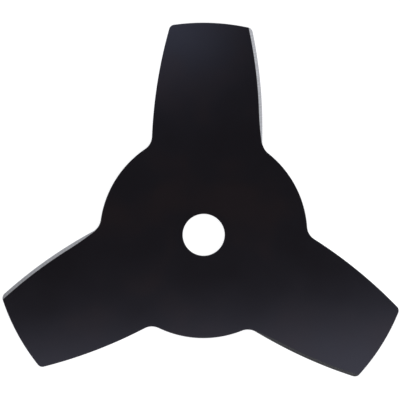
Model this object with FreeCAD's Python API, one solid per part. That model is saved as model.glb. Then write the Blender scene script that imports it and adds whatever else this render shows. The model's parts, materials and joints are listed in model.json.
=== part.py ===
"""Three-arm brush cutter blade, stamped from spring steel sheet, with ground cutting edges.

Frame: the origin is the centre of the bore at mid thickness, +Z points out of the top face and
one arm points along +Y. All sizes are in millimetres, and angles in degrees.

The blade turns over: each arm has one edge ground from the top face and the other edge ground
from the underside, so that it looks the same from both faces.
"""

import FreeCAD
import Part
import math
import os

# The sheet
thickness = 1.6
bore_diameter = 25.4

# Outline, made of tangent arcs
overall_diameter = 255.0
hub_diameter = 125.5
arm_count = 3
arm_width = 66.5
arm_widest_at = 56.0
arm_side_radius = 280.0
tip_corner_radius = 3.4
root_fillet_radius = 9.3

# Ground cutting edges
bevel_angle = 35.0
edge_land = 0.25
bevel_full_from = 76.0
runout_length = 21.0
leadout_radius = 6.0

# The last share of the run-out, where the grind turns out over the root fillet
leadout_share = 0.1

# How far a cutting tool stands clear of the metal that it leaves
tool_clearance = 3.0

tip_radius = overall_diameter / 2
hub_radius = hub_diameter / 2
top_z = thickness / 2
bevel_slope = math.tan(math.radians(bevel_angle))
bevel_width = (thickness - edge_land) / bevel_slope

CENTRE = FreeCAD.Vector(0, 0, 0)
UP = FreeCAD.Vector(0, 0, 1)
ARM = FreeCAD.Vector(0, 1, 0)

# Each side of an arm is one long arc that bulges outwards
side_centre = FreeCAD.Vector(arm_width / 2 - arm_side_radius, arm_widest_at, 0)


def towards(start, end, distance):
    """The point at a distance from start, in the direction of end."""
    return start + (end - start).normalize() * distance


def circles_meet(centre_a, radius_a, centre_b, radius_b):
    """The two points where two circles in the XY plane cross."""
    line = centre_b - centre_a
    apart = line.Length
    along = (radius_a**2 - radius_b**2 + apart**2) / (2 * apart)
    across = math.sqrt(radius_a**2 - along**2)
    forward = FreeCAD.Vector(line).normalize()
    sideways = UP.cross(forward)
    foot = centre_a + forward * along
    return foot + sideways * across, foot - sideways * across


def mirrored(point):
    """The same point on the other side of the arm."""
    return FreeCAD.Vector(-point.x, point.y, point.z)


def arc(centre, start, end):
    """The shorter arc about a centre from start to end."""
    middle = towards(centre, (start + end) / 2, (start - centre).Length)
    return Part.Arc(start, middle, end).toShape()


def arm_outline():
    """Edges of one arm, and of the stretch of hub that follows it clockwise."""
    corners = circles_meet(
        CENTRE, tip_radius - tip_corner_radius, side_centre, arm_side_radius - tip_corner_radius
    )
    corner = max(corners, key=lambda point: point.y)
    roots = circles_meet(
        CENTRE, hub_radius + root_fillet_radius, side_centre, arm_side_radius + root_fillet_radius
    )
    root = max(roots, key=lambda point: point.y)

    tip = towards(CENTRE, corner, tip_radius)
    side_top = towards(side_centre, corner, arm_side_radius)
    side_foot = towards(side_centre, root, arm_side_radius)
    hub_start = towards(CENTRE, root, hub_radius)

    turn = FreeCAD.Rotation(UP, -360 / arm_count)
    next_arm = turn.multVec(mirrored(hub_start))

    return [
        arc(mirrored(root), mirrored(hub_start), mirrored(side_foot)),
        arc(mirrored(side_centre), mirrored(side_foot), mirrored(side_top)),
        arc(mirrored(corner), mirrored(side_top), mirrored(tip)),
        arc(CENTRE, mirrored(tip), tip),
        arc(corner, tip, side_top),
        arc(side_centre, side_top, side_foot),
        arc(root, side_foot, hub_start),
        arc(CENTRE, hub_start, next_arm),
    ]


def around(shape):
    """Copies of a shape, one for each arm."""
    copies = []
    for arm in range(arm_count):
        copy = shape.copy()
        copy.rotate(CENTRE, UP, -360 * arm / arm_count)
        copies.append(copy)
    return copies


def blank():
    """The stamped blank with its bore, before it is ground."""
    edges = []
    for edge in arm_outline():
        edges.extend(around(edge))
    outline = Part.Wire(Part.__sortEdges__(edges))
    plate = Part.Face(outline).extrude(UP * thickness)
    drill = Part.makeCylinder(bore_diameter / 2, thickness + 2 * tool_clearance)
    drill.translate(UP * -tool_clearance)
    plate = plate.cut(drill)
    plate.translate(UP * -top_z)
    return plate


def grinding_wedge(centre, line_radius, outwards, start_angle, sweep):
    """A wedge that grinds a bevel outwards from an arc on the top face.

    The arc has the line radius about the centre. Outwards is +1 where the edge lies outside the
    arc, and -1 where it lies on the centre's side.
    """
    reach = bevel_width + tool_clearance
    lift = tool_clearance * bevel_slope
    far = line_radius + outwards * reach
    profile = Part.makePolygon([
        FreeCAD.Vector(line_radius - outwards * tool_clearance, 0, top_z + lift),
        FreeCAD.Vector(far, 0, top_z + lift),
        FreeCAD.Vector(far, 0, top_z - reach * bevel_slope),
        FreeCAD.Vector(line_radius - outwards * tool_clearance, 0, top_z + lift),
    ])
    wedge = Part.Face(profile).revolve(CENTRE, UP, sweep)
    wedge.rotate(CENTRE, UP, start_angle)
    wedge.translate(centre)
    return wedge


def leadout_cone(centre):
    """The cone that carries the bevel's line out over the root fillet."""
    lift = tool_clearance * bevel_slope
    depth = leadout_radius * bevel_slope
    cone = Part.makeCone(0, leadout_radius + tool_clearance, depth + lift)
    cone.translate(centre + UP * (top_z - depth))
    return cone


def edge_grind():
    """What the wheel takes off one edge: full width to the tip, fading out towards the root."""
    line_radius = arm_side_radius - bevel_width
    full_angle = math.asin((bevel_full_from - arm_widest_at) / line_radius)
    tip_angle = math.asin((tip_radius + tool_clearance - arm_widest_at) / line_radius)
    full_width = grinding_wedge(
        side_centre, line_radius, 1, math.degrees(full_angle), math.degrees(tip_angle - full_angle)
    )

    # The fade's arc starts tangent to the full-width line and reaches the edge at its far end
    closing = 2 * bevel_width / runout_length**2
    fade_radius = 1 / (closing - 1 / line_radius)
    normal = FreeCAD.Vector(math.cos(full_angle), math.sin(full_angle), 0)
    fade_centre = side_centre + normal * (line_radius + fade_radius)
    fade_sweep = (1 - leadout_share) * runout_length / fade_radius
    fade_start = math.pi + full_angle
    fade = grinding_wedge(
        fade_centre, fade_radius, -1, math.degrees(fade_start), math.degrees(fade_sweep)
    )

    leaves_at = fade_start + fade_sweep
    inward = FreeCAD.Vector(math.cos(leaves_at), math.sin(leaves_at), 0)
    leadout = leadout_cone(fade_centre + inward * (fade_radius - leadout_radius))
    return [full_width, fade, leadout]


def blade():
    """The blank, ground from both faces."""
    grinds = []
    for tool in edge_grind():
        turned_over = tool.copy()
        turned_over.rotate(CENTRE, ARM, 180)
        grinds.extend(around(tool))
        grinds.extend(around(turned_over))
    return blank().cut(grinds).removeSplitter()


def save(shape, name):
    """Check that a piece is one sound solid, and write it."""
    if not shape.isValid() or len(shape.Solids) != 1:
        raise ValueError(f"{name} isn't one valid solid")
    shape.Solids[0].exportStep(f"parts/{name}.step")


os.makedirs("parts", exist_ok=True)
save(blade(), "blade")
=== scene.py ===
"""Brush cutter blade: a black coated steel plate with ground cutting edges, on a pale studio floor."""

import json
import math

import bmesh
import bpy
from bpy.props import FloatProperty, FloatVectorProperty, PointerProperty
from mathutils import Matrix, Quaternion, Vector


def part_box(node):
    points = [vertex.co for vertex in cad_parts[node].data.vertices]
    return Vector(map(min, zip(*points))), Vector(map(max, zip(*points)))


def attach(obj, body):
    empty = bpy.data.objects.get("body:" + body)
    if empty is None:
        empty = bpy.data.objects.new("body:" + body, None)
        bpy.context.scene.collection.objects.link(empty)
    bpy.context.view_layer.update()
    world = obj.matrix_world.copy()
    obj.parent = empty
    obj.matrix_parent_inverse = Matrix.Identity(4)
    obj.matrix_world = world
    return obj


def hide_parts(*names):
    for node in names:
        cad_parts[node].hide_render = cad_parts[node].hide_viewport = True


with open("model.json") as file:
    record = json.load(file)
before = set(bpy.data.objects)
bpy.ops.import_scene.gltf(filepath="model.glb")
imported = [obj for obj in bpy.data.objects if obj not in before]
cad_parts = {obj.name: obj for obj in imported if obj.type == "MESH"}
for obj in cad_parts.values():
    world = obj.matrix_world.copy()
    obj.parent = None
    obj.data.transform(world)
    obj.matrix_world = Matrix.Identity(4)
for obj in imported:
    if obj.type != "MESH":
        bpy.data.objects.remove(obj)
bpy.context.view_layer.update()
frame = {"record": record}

bl_info = {
    "name": "Brush Cutter Blade",
    "version": (1, 0, 0),
    "blender": (4, 5, 0),
    "location": "3D View > Sidebar > Blade",
    "description": "Makes a three-arm brush cutter blade with ground edges, and a studio to show it in",
    "category": "Add Mesh",
}

MM = 0.001
ARM_COUNT = 3
# The plate's second material is the ground steel, and this map follows its grinding
GROUND = 1
GRIND_MAP = "grind"
# Points that lie closer together than this are merged, on the outline and on the ground plate
OUTLINE_WELD = 0.001 * MM
GROUND_WELD = 0.0001 * MM

BORE = next(mount for mount in frame["record"]["mounts"] if mount["name"] == "bore")
LOWEST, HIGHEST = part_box("blade")


def linear(code):
    """An sRGB hex colour as linear red, green and blue."""
    channels = [int(code[place:place + 2], 16) / 255 for place in (1, 3, 5)]
    return [c / 12.92 if c <= 0.04045 else ((c + 0.055) / 1.055) ** 2.4 for c in channels]


def length(name, description, default):
    """A size that a user can change, in metres."""
    return FloatProperty(
        name=name, description=description, default=default, min=0, unit="LENGTH", precision=5
    )


def colour(name, description, code):
    """A colour that a user can change."""
    return FloatVectorProperty(
        name=name, description=description, default=linear(code), subtype="COLOR", min=0, max=1
    )


class BladeSizes(bpy.types.PropertyGroup):
    """Sizes of the blank and of its ground edges."""

    thickness: length("Thickness", "Thickness of the sheet", HIGHEST.z - LOWEST.z)
    bore_radius: length("Bore radius", "Radius of the centre hole", BORE["dims"]["r_mm"] * MM)
    tip_radius: length("Tip radius", "From the bore's axis to the tips", HIGHEST.y)
    hub_radius: length("Hub radius", "Radius of the round hub between the arms", 62.75 * MM)
    arm_width: length("Arm width", "Width of an arm where it is widest", 66.5 * MM)
    arm_widest_at: length("Widest at", "From the bore's axis to the arm's widest place", 56 * MM)
    arm_side_radius: length("Side radius", "Radius of the arm's bulging sides", 280 * MM)
    tip_corner_radius: length("Tip corner", "Radius of the arm's outer corners", 3.4 * MM)
    root_fillet_radius: length("Root fillet", "Radius where an arm meets the hub", 9.3 * MM)
    edge_softness: length("Edge softness", "Rounding of the blank's rims under the coat", 0.1 * MM)
    bevel_angle: FloatProperty(
        name="Bevel angle", description="Slope of the ground bevel", default=math.radians(35),
        min=0, subtype="ANGLE",
    )
    edge_land: length("Edge land", "Height of the rim left under the bevel", 0.25 * MM)
    bevel_full_from: length("Full width from", "Where the bevel gets its full width", 76 * MM)
    runout_length: length("Run-out", "Length over which the bevel fades out", 21 * MM)
    leadout_radius: length("Lead-out", "Radius that carries the bevel off the edge", 6 * MM)


class BladeFinish(bpy.types.PropertyGroup):
    """Colours and surface detail of the coat and of the ground steel."""

    coat: colour("Coat", "Black stoving enamel", "#0b0a0b")
    coat_tint: colour("Coat tint", "Reflections of the enamel, seen straight on", "#e1e3ff")
    browned: colour("Browned coat", "The enamel where the oven browned it", "#110b08")
    coat_roughness: FloatProperty(
        name="Coat roughness", description="Roughness of the enamel", default=0.17, min=0, max=1
    )
    patch_size: length("Patch size", "Width of the enamel's drier and browned patches", 40 * MM)
    peel_size: length("Peel size", "Width of the enamel's orange peel", 1.4 * MM)
    grain_size: length("Grain size", "Width of the enamel's matting grains", 0.8 * MM)
    steel: colour("Steel", "Freshly ground spring steel", "#dddde0")
    steel_roughness: FloatProperty(
        name="Steel roughness", description="Roughness of the grind", default=0.1, min=0, max=1
    )
    mark_spacing: length("Mark spacing", "Distance between grinding marks", 0.5 * MM)
    mark_length: length("Mark length", "Length of a grinding mark", 4 * MM)


class StudioSettings(bpy.types.PropertyGroup):
    """The floor and the light around the blade."""

    floor: colour("Floor", "Matt white table", "#f2f2f2")
    backdrop: colour("Backdrop", "Paper behind the table", "#ffffff")
    wall: colour("Walls", "White walls of the studio", "#f4f6fa")
    ceiling: colour("Ceiling", "Unlit ceiling over the table", "#6e6463")
    front_panel: colour("Front panel", "Diffuser of the lamp in front", "#fbfbff")
    rear_panel: colour("Rear panel", "Diffuser of the cooler lamp behind", "#dfe8f8")


def add_node(tree, kind, links=None, **settings):
    """Add a node, set its properties and give its inputs a value or a link."""
    node = tree.nodes.new(kind)
    for name, value in settings.items():
        setattr(node, name, value)
    for socket, value in (links or {}).items():
        if isinstance(value, bpy.types.NodeSocket):
            tree.links.new(value, node.inputs[socket])
        else:
            node.inputs[socket].default_value = value
    return node


def rgba(tone, share=1):
    """A colour for a socket, at a share of its brightness."""
    return (*(share * channel for channel in tone), 1)


def new_material(name):
    """An empty node material with its output."""
    material = bpy.data.materials.new(name)
    material.use_nodes = True
    material.node_tree.nodes.clear()
    output = add_node(material.node_tree, "ShaderNodeOutputMaterial")
    return material, material.node_tree, output


def black_enamel(finish):
    """Black stoving enamel sprayed on steel: a dark, semi-gloss coat with a faint orange peel."""
    material, tree, output = new_material("black_enamel")
    place = add_node(tree, "ShaderNodeTexCoord").outputs["Object"]
    # Orange peel: shallow dimples a little over a millimetre apart
    peel = add_node(
        tree, "ShaderNodeTexNoise", {"Vector": place, "Scale": 1 / finish.peel_size, "Detail": 1.0}
    )
    bump = add_node(
        tree, "ShaderNodeBump",
        {"Strength": 0.1, "Distance": 0.02 * MM, "Height": peel.outputs["Fac"]},
    )
    # Over a few centimetres the spray lay drier in some places, and the oven browned it in others.
    # The pattern is moved by so many metres that most of the browned places lie on the hub
    moved = add_node(
        tree, "ShaderNodeVectorMath", {0: place, 1: (-2.404, 0.841, 0)}, operation="ADD"
    )
    cloud = add_node(
        tree, "ShaderNodeTexNoise",
        {"Vector": moved.outputs["Vector"], "Scale": 1 / finish.patch_size, "Detail": 2.0},
    )
    unevenness = 0.02
    gloss = add_node(
        tree, "ShaderNodeMapRange",
        {
            "Value": cloud.outputs["Fac"], "From Min": 0.3, "From Max": 0.7,
            "To Min": finish.coat_roughness - unevenness,
            "To Max": finish.coat_roughness + unevenness,
        },
    )
    # Matting grains in the enamel, drawn wider than the real ones so that they show
    grain = add_node(
        tree, "ShaderNodeTexNoise", {"Vector": place, "Scale": 1 / finish.grain_size, "Detail": 1.0}
    )
    grain_tone = add_node(
        tree, "ShaderNodeMix",
        {
            "Factor": grain.outputs["Fac"], "A": rgba(finish.coat, 0.5),
            "B": rgba(finish.coat, 1.5),
        },
        data_type="RGBA",
    )
    brown = add_node(
        tree, "ShaderNodeMapRange", {"Value": cloud.outputs["Fac"], "From Min": 0.5, "From Max": 0.65}
    )
    tone = add_node(
        tree, "ShaderNodeMix",
        {
            "Factor": brown.outputs["Result"], "A": grain_tone.outputs["Result"],
            "B": rgba(finish.browned),
        },
        data_type="RGBA",
    )
    # The black pigment gives what the enamel reflects a trace of blue
    surface = add_node(
        tree, "ShaderNodeBsdfPrincipled",
        {
            "Base Color": tone.outputs["Result"], "Roughness": gloss.outputs["Result"],
            "IOR": 1.5, "Specular Tint": rgba(finish.coat_tint),
            "Normal": bump.outputs["Normal"],
        },
    )
    tree.links.new(surface.outputs["BSDF"], output.inputs["Surface"])
    return material


def ground_steel(finish):
    """Bare spring steel, ground on a fine wheel: a soft mirror, with fine marks across the bevel."""
    material, tree, output = new_material("ground_spring_steel")
    # The map runs along the edge in U and across the bevel in V, both in metres. Real marks are
    # about 0.1 mm apart, and they are drawn wider so that they show
    grind = add_node(tree, "ShaderNodeUVMap", uv_map=GRIND_MAP)
    stretch = (1 / finish.mark_spacing, 1 / finish.mark_length, 0)
    marks_place = add_node(
        tree, "ShaderNodeVectorMath", {0: grind.outputs["UV"], 1: stretch}, operation="MULTIPLY"
    )
    marks = add_node(
        tree, "ShaderNodeTexNoise",
        {"Vector": marks_place.outputs["Vector"], "Scale": 1.0, "Detail": 3.0},
    )
    bump = add_node(
        tree, "ShaderNodeBump",
        {"Strength": 0.3, "Distance": 0.01 * MM, "Height": marks.outputs["Fac"]},
    )
    # The steel is drawn a quarter darker in the grooves of the marks: painted shade in their hollows
    depth = add_node(
        tree, "ShaderNodeMapRange", {"Value": marks.outputs["Fac"], "From Min": 0.35, "From Max": 0.65}
    )
    tone = add_node(
        tree, "ShaderNodeMix",
        {
            "Factor": depth.outputs["Result"], "A": rgba(finish.steel, 0.75),
            "B": rgba(finish.steel),
        },
        data_type="RGBA",
    )
    # Marks across the bevel draw a highlight out along the edge
    along_edge = add_node(
        tree, "ShaderNodeTangent", direction_type="UV_MAP", uv_map=GRIND_MAP
    )
    surface = add_node(
        tree, "ShaderNodeBsdfPrincipled",
        {
            "Base Color": tone.outputs["Result"], "Metallic": 1.0,
            "Roughness": finish.steel_roughness, "Anisotropic": 0.8,
            "Normal": bump.outputs["Normal"], "Tangent": along_edge.outputs["Tangent"],
        },
    )
    tree.links.new(surface.outputs["BSDF"], output.inputs["Surface"])
    return material


def towards(start, end, distance):
    """The point at a distance from start, in the direction of end."""
    return start + (end - start).normalized() * distance


def circles_meet(centre_a, radius_a, centre_b, radius_b):
    """Of the two points where two circles cross, the one further along +Y."""
    line = centre_b - centre_a
    along = (radius_a**2 - radius_b**2 + line.length_squared) / (2 * line.length)
    across = math.sqrt(radius_a**2 - along**2)
    forward = line.normalized()
    sideways = Vector((-forward.y, forward.x, 0)) * across
    foot = centre_a + forward * along
    return max(foot + sideways, foot - sideways, key=lambda point: point.y)


def mirrored(point):
    """The same point on the other side of the arm."""
    return Vector((-point.x, point.y, point.z))


def side_centre(sizes):
    """The centre of the long arc that is the first arm's right side."""
    return Vector((sizes.arm_width / 2 - sizes.arm_side_radius, sizes.arm_widest_at, 0))


def turn_between(centre, start, end):
    """The signed angle of the shorter turn about a centre from start to end, seen from above."""
    before, after = start - centre, end - centre
    return math.atan2(before.x * after.y - before.y * after.x, before.dot(after))


def trace_arc(mesh, vertex, centre, end, facet):
    """Draw an arc from a vertex to an end point, and return its last vertex."""
    angle = turn_between(centre, vertex.co, end)
    steps = max(8, math.ceil(abs(angle) * (end - centre).length / facet))
    swept = bmesh.ops.spin(
        mesh, geom=[vertex], cent=centre, axis=(0, 0, 1), angle=angle, steps=steps
    )
    return next(item for item in swept["geom_last"] if isinstance(item, bmesh.types.BMVert))


def round_the_arms(mesh, geometry):
    """Repeat geometry of the first arm on the other arms."""
    turn = math.tau / ARM_COUNT
    bmesh.ops.spin(
        mesh, geom=geometry, cent=(0, 0, 0), axis=(0, 0, 1), angle=-turn * (ARM_COUNT - 1),
        steps=ARM_COUNT - 1, use_duplicate=True,
    )


def stamped_blank(sizes):
    """The blank: an outline of tangent arcs and a bore, with softly rounded rims."""
    centre = Vector((0, 0, 0))
    side = side_centre(sizes)
    corner = circles_meet(
        centre, sizes.tip_radius - sizes.tip_corner_radius,
        side, sizes.arm_side_radius - sizes.tip_corner_radius,
    )
    root = circles_meet(
        centre, sizes.hub_radius + sizes.root_fillet_radius,
        side, sizes.arm_side_radius + sizes.root_fillet_radius,
    )
    tip = towards(centre, corner, sizes.tip_radius)
    side_top = towards(side, corner, sizes.arm_side_radius)
    side_foot = towards(side, root, sizes.arm_side_radius)
    hub_start = towards(centre, root, sizes.hub_radius)
    next_arm = mirrored(hub_start)
    next_arm.rotate(Quaternion((0, 0, 1), -math.tau / ARM_COUNT))

    facet = 1.2 * MM
    mesh = bmesh.new()
    end = mesh.verts.new(mirrored(hub_start))
    for arc_centre, arc_end in (
        (mirrored(root), mirrored(side_foot)),
        (mirrored(side), mirrored(side_top)),
        (mirrored(corner), mirrored(tip)),
        (centre, tip),
        (corner, side_top),
        (side, side_foot),
        (root, hub_start),
        (centre, next_arm),
    ):
        end = trace_arc(mesh, end, arc_centre, arc_end, facet)
    round_the_arms(mesh, mesh.verts[:] + mesh.edges[:])
    bmesh.ops.remove_doubles(mesh, verts=mesh.verts, dist=OUTLINE_WELD)
    bmesh.ops.create_circle(mesh, radius=sizes.bore_radius, segments=128)
    bmesh.ops.triangle_fill(mesh, edges=mesh.edges[:], normal=(0, 0, 1), use_beauty=True)

    raised = bmesh.ops.extrude_face_region(mesh, geom=mesh.faces[:])["geom"]
    raised = [item for item in raised if isinstance(item, bmesh.types.BMVert)]
    bmesh.ops.translate(mesh, verts=raised, vec=(0, 0, sizes.thickness))
    bmesh.ops.translate(mesh, verts=mesh.verts, vec=(0, 0, -sizes.thickness / 2))
    bmesh.ops.recalc_face_normals(mesh, faces=mesh.faces)
    rims = [edge for edge in mesh.edges if edge.calc_face_angle(0) > math.radians(60)]
    bmesh.ops.bevel(
        mesh, geom=rims, offset=sizes.edge_softness, offset_type="OFFSET", segments=3,
        profile=0.5, affect="EDGES", material=-1,
    )
    return mesh


def both_faces_all_arms(mesh):
    """Repeat a grinding shape on the underside of the arm's other edge, and on every arm."""
    turned = bmesh.ops.duplicate(mesh, geom=mesh.verts[:] + mesh.edges[:] + mesh.faces[:])["geom"]
    turned = [item for item in turned if isinstance(item, bmesh.types.BMVert)]
    bmesh.ops.rotate(mesh, verts=turned, cent=(0, 0, 0), matrix=Matrix.Rotation(math.pi, 3, "Y"))
    round_the_arms(mesh, mesh.verts[:] + mesh.edges[:] + mesh.faces[:])
    bmesh.ops.recalc_face_normals(mesh, faces=mesh.faces)
    for face in mesh.faces:
        face.material_index = GROUND
    return mesh


def grinding_shapes(sizes):
    """What the wheel takes off each edge, as two meshes: the long wedge and the lead-out cone."""
    slope = math.tan(sizes.bevel_angle)
    width = (sizes.thickness - sizes.edge_land) / slope
    top = sizes.thickness / 2
    # How far a tool stands clear of the metal that it leaves
    clear = 3 * MM
    lift = clear * slope
    up = Vector((0, 0, 1))
    side = side_centre(sizes)
    line_radius = sizes.arm_side_radius - width
    full_angle = math.asin((sizes.bevel_full_from - sizes.arm_widest_at) / line_radius)
    tip_angle = math.asin((sizes.tip_radius + clear - sizes.arm_widest_at) / line_radius)
    closing = 2 * width / sizes.runout_length**2
    fade_radius = 1 / (closing - 1 / line_radius)
    fade = side + Vector((math.cos(full_angle), math.sin(full_angle), 0)) * (line_radius + fade_radius)
    # The last share of the run-out, where the grind turns out over the root fillet
    leadout_share = 0.1
    fade_sweep = (1 - leadout_share) * sizes.runout_length / fade_radius

    # A triangle past the tip, swept down the side and then out along the fade
    wedge = bmesh.new()
    outwards = Vector((math.cos(tip_angle), math.sin(tip_angle), 0))
    reach = width + clear
    near = side + outwards * (line_radius - clear) + up * (top + lift)
    far = side + outwards * (line_radius + reach)
    corners = [near, far + up * (top + lift), far + up * (top - reach * slope)]
    wedge.faces.new([wedge.verts.new(point) for point in corners])
    swept = bmesh.ops.spin(
        wedge, geom=wedge.verts[:] + wedge.edges[:] + wedge.faces[:], cent=side, axis=up,
        angle=full_angle - tip_angle, steps=40,
    )
    bmesh.ops.spin(
        wedge, geom=swept["geom_last"], cent=fade, axis=up, angle=fade_sweep, steps=20
    )

    leaves_at = math.pi + full_angle + fade_sweep
    inward = Vector((math.cos(leaves_at), math.sin(leaves_at), 0))
    place = fade + inward * (fade_radius - sizes.leadout_radius)
    depth = sizes.leadout_radius * slope
    cone = bmesh.new()
    bmesh.ops.create_cone(
        cone, cap_ends=True, segments=96, radius1=0, radius2=sizes.leadout_radius + clear,
        depth=depth + lift, matrix=Matrix.Translation(place + up * (top + (lift - depth) / 2)),
    )
    return both_faces_all_arms(wedge), both_faces_all_arms(cone)


def object_from(mesh, name, materials):
    """Put a bmesh in the scene as an object at the origin."""
    data = bpy.data.meshes.new(name)
    mesh.to_mesh(data)
    mesh.free()
    for material in materials:
        data.materials.append(material)
    piece = bpy.data.objects.new(name, data)
    bpy.context.scene.collection.objects.link(piece)
    return piece


def grind(plate, tools):
    """Cut the tools out of the plate, and leave the cut as its mesh."""
    for tool in tools:
        cut = plate.modifiers.new(tool.name, "BOOLEAN")
        cut.operation = "DIFFERENCE"
        cut.solver = "EXACT"
        cut.material_mode = "INDEX"
        cut.object = tool
    shaped = plate.evaluated_get(bpy.context.evaluated_depsgraph_get())
    data = bpy.data.meshes.new_from_object(shaped)
    plate.modifiers.clear()
    plate.data = data
    for tool in tools:
        bpy.data.objects.remove(tool)


def finish_surface(plate, sizes):
    """Set the shading, and map the ground faces along and across their edge."""
    mesh = bmesh.new()
    mesh.from_mesh(plate.data)
    bmesh.ops.remove_doubles(mesh, verts=mesh.verts, dist=GROUND_WELD)
    grind_map = mesh.loops.layers.uv.new(GRIND_MAP)
    side = side_centre(sizes)
    arm_turn = math.tau / ARM_COUNT
    for face in mesh.faces:
        # The plate's faces shade flat, and its walls and bevels smooth between sharp edges
        face.smooth = abs(face.normal.z) < 0.9999
        if face.material_index != GROUND:
            continue
        middle = face.calc_center_median()
        arm = round(math.atan2(middle.x, middle.y) / arm_turn)
        for loop in face.loops:
            place = Matrix.Rotation(arm * arm_turn, 3, "Z") @ loop.vert.co
            place.x *= 1 if face.normal.z > 0 else -1
            out = (place - side).xy
            loop[grind_map].uv = (sizes.arm_side_radius * math.atan2(out.y, out.x), out.length)
    for edge in mesh.edges:
        edge.smooth = edge.calc_face_angle(0) < math.radians(32)
    mesh.to_mesh(plate.data)
    mesh.free()


class BRUSHCUTTER_OT_make_blade(bpy.types.Operator):
    """Stamp the blank, grind its cutting edges and give it its finishes"""

    bl_idname = "brushcutter.make_blade"
    bl_label = "Make Blade"

    def execute(self, context):
        sizes = context.scene.blade_sizes
        finish = context.scene.blade_finish
        materials = [black_enamel(finish), ground_steel(finish)]
        plate = object_from(stamped_blank(sizes), "blade_plate", materials)
        wedges, cones = grinding_shapes(sizes)
        tools = [
            object_from(wedges, "grinding_wedges", materials),
            object_from(cones, "leadout_cones", materials),
        ]
        grind(plate, tools)
        finish_surface(plate, sizes)
        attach(plate, "root")
        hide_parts("blade")
        return {"FINISHED"}


def table_top(studio):
    """Matt white table. It is drawn white, and keeps a faint shadow under the blade."""
    material, tree, output = new_material("matt_white_table")
    lit = add_node(tree, "ShaderNodeBsdfDiffuse", {"Color": rgba(studio.floor)})
    # For the camera and in reflections, half of the white doesn't depend on the lamps
    glow = add_node(tree, "ShaderNodeEmission", {"Color": (1, 1, 1, 1), "Strength": 1.5})
    drawn = add_node(
        tree, "ShaderNodeMixShader", {"Fac": 0.5, 1: lit.outputs["BSDF"], 2: glow.outputs["Emission"]}
    )
    path = add_node(tree, "ShaderNodeLightPath")
    seen = add_node(
        tree, "ShaderNodeMath",
        {0: path.outputs["Is Camera Ray"], 1: path.outputs["Is Glossy Ray"]}, operation="MAXIMUM",
    )
    seen = add_node(
        tree, "ShaderNodeMath", {0: seen.outputs["Value"], 1: path.outputs["Is Transmission Ray"]},
        operation="MAXIMUM",
    )
    mixed = add_node(
        tree, "ShaderNodeMixShader",
        {"Fac": seen.outputs["Value"], 1: lit.outputs["BSDF"], 2: drawn.outputs["Shader"]},
    )
    tree.links.new(mixed.outputs["Shader"], output.inputs["Surface"])
    return material


def add_lamp(name, tint, radiance, width, depth, place, turn):
    """A soft box that faces down, turned by so many degrees. Its diffuser is evenly bright."""
    data = bpy.data.lights.new(name, "AREA")
    data.shape = "RECTANGLE"
    data.size = width
    data.size_y = depth
    data.color = tint
    data.energy = radiance * math.pi * width * depth
    lamp = bpy.data.objects.new(name, data)
    lamp.location = place
    lamp.rotation_euler = (0, 0, math.radians(turn))
    bpy.context.scene.collection.objects.link(lamp)


def light_the_room(studio):
    """A dim ceiling, walls that are lighter to the right, and a pale backdrop at table height."""
    world = bpy.data.worlds.new("studio_room")
    world.use_nodes = True
    tree = world.node_tree
    tree.nodes.clear()
    output = add_node(tree, "ShaderNodeOutputWorld")
    direction = add_node(tree, "ShaderNodeTexCoord").outputs["Generated"]
    # The walls get lighter upwards, and towards the right and the rear, and are nowhere quite dark
    towards_light = add_node(
        tree, "ShaderNodeVectorMath", {0: direction, 1: (0.292, 0.295, 0.91)},
        operation="DOT_PRODUCT",
    )
    level = add_node(
        tree, "ShaderNodeMapRange",
        {
            "Value": towards_light.outputs["Value"], "From Min": -0.055, "From Max": 1,
            "To Min": 0.08, "To Max": 1.2,
        },
    )
    walls = add_node(
        tree, "ShaderNodeVectorMath", {0: studio.wall, "Scale": level.outputs["Result"]},
        operation="SCALE",
    )
    # The ceiling over the table is unlit, and a little further to the left than to the right
    from_zenith = add_node(
        tree, "ShaderNodeVectorMath", {0: direction, 1: (-0.1, 0, 0.995)}, operation="DISTANCE"
    )
    outside = add_node(
        tree, "ShaderNodeMapRange",
        {"Value": from_zenith.outputs["Value"], "From Min": 0.23, "From Max": 0.6},
        interpolation_type="SMOOTHSTEP",
    )
    room = add_node(
        tree, "ShaderNodeMix",
        {"Factor": outside.outputs["Result"], "A": rgba(studio.ceiling), "B": walls.outputs["Vector"]},
        data_type="RGBA",
    )
    height = add_node(tree, "ShaderNodeSeparateXYZ", {"Vector": direction})
    rise = add_node(
        tree, "ShaderNodeMapRange",
        {"Value": height.outputs["Z"], "From Min": 0.15, "From Max": 0.19},
        interpolation_type="SMOOTHSTEP",
    )
    tone = add_node(
        tree, "ShaderNodeMix",
        {"Factor": rise.outputs["Result"], "A": rgba(studio.backdrop), "B": room.outputs["Result"]},
        data_type="RGBA",
    )
    background = add_node(tree, "ShaderNodeBackground", {"Color": tone.outputs["Result"]})
    tree.links.new(background.outputs["Background"], output.inputs["Surface"])
    bpy.context.scene.world = world


def place_camera():
    """The photograph's view: from nearly straight above, a little to the rear and the left."""
    data = bpy.data.cameras.new("camera")
    # Both in millimetres
    data.sensor_width = 36
    data.lens = 118.94
    camera = bpy.data.objects.new("camera", data)
    camera.location = Vector((-20.87, 59.12, 796.77)) * MM
    camera.rotation_euler = [math.radians(angle) for angle in (-2.784, -1.188, 2.041)]
    bpy.context.scene.collection.objects.link(camera)
    bpy.context.scene.camera = camera


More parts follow.
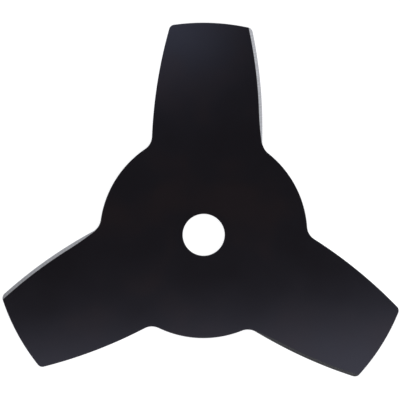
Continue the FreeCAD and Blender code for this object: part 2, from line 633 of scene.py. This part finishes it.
class BRUSHCUTTER_OT_make_studio(bpy.types.Operator):
    """Lay the table, hang the soft boxes and set the camera"""

    bl_idname = "brushcutter.make_studio"
    bl_label = "Make Studio"

    def execute(self, context):
        studio = context.scene.blade_studio
        mesh = bmesh.new()
        # From its middle to its sides, far past what any view shows
        table_reach = 15
        bmesh.ops.create_grid(mesh, x_segments=1, y_segments=1, size=table_reach)
        bmesh.ops.translate(mesh, verts=mesh.verts, vec=(0, 0, LOWEST.z))
        table = object_from(mesh, "table", [table_top(studio)])
        add_lamp(
            "front_lamp", studio.front_panel, radiance=1.38, width=0.92, depth=0.9,
            place=(0.125, -0.706, 1.3), turn=6,
        )
        add_lamp(
            "rear_lamp", studio.rear_panel, radiance=1.28, width=0.97, depth=0.9,
            place=(-0.485, 0.56, 1.3), turn=8.3,
        )
        light_the_room(studio)
        place_camera()
        context.scene.view_settings.view_transform = "Standard"
        return {"FINISHED"}


class BRUSHCUTTER_PT_panel(bpy.types.Panel):
    """Settings and steps for the brush cutter blade"""

    bl_idname = "BRUSHCUTTER_PT_panel"
    bl_label = "Brush Cutter Blade"
    bl_space_type = "VIEW_3D"
    bl_region_type = "UI"
    bl_category = "Blade"

    def draw(self, context):
        layout = self.layout
        for group in ("blade_sizes", "blade_finish", "blade_studio"):
            settings = getattr(context.scene, group)
            column = layout.column(align=True)
            for name in settings.__annotations__:
                column.prop(settings, name)
        layout.operator(BRUSHCUTTER_OT_make_blade.bl_idname)
        layout.operator(BRUSHCUTTER_OT_make_studio.bl_idname)


CLASSES = (
    BladeSizes,
    BladeFinish,
    StudioSettings,
    BRUSHCUTTER_OT_make_blade,
    BRUSHCUTTER_OT_make_studio,
    BRUSHCUTTER_PT_panel,
)


def register():
    for cls in CLASSES:
        bpy.utils.register_class(cls)
    bpy.types.Scene.blade_sizes = PointerProperty(type=BladeSizes)
    bpy.types.Scene.blade_finish = PointerProperty(type=BladeFinish)
    bpy.types.Scene.blade_studio = PointerProperty(type=StudioSettings)


def unregister():
    del bpy.types.Scene.blade_studio
    del bpy.types.Scene.blade_finish
    del bpy.types.Scene.blade_sizes
    for cls in reversed(CLASSES):
        bpy.utils.unregister_class(cls)


def main():
    register()
    bpy.ops.brushcutter.make_blade()
    bpy.ops.brushcutter.make_studio()


if __name__ == "__main__":
    main()
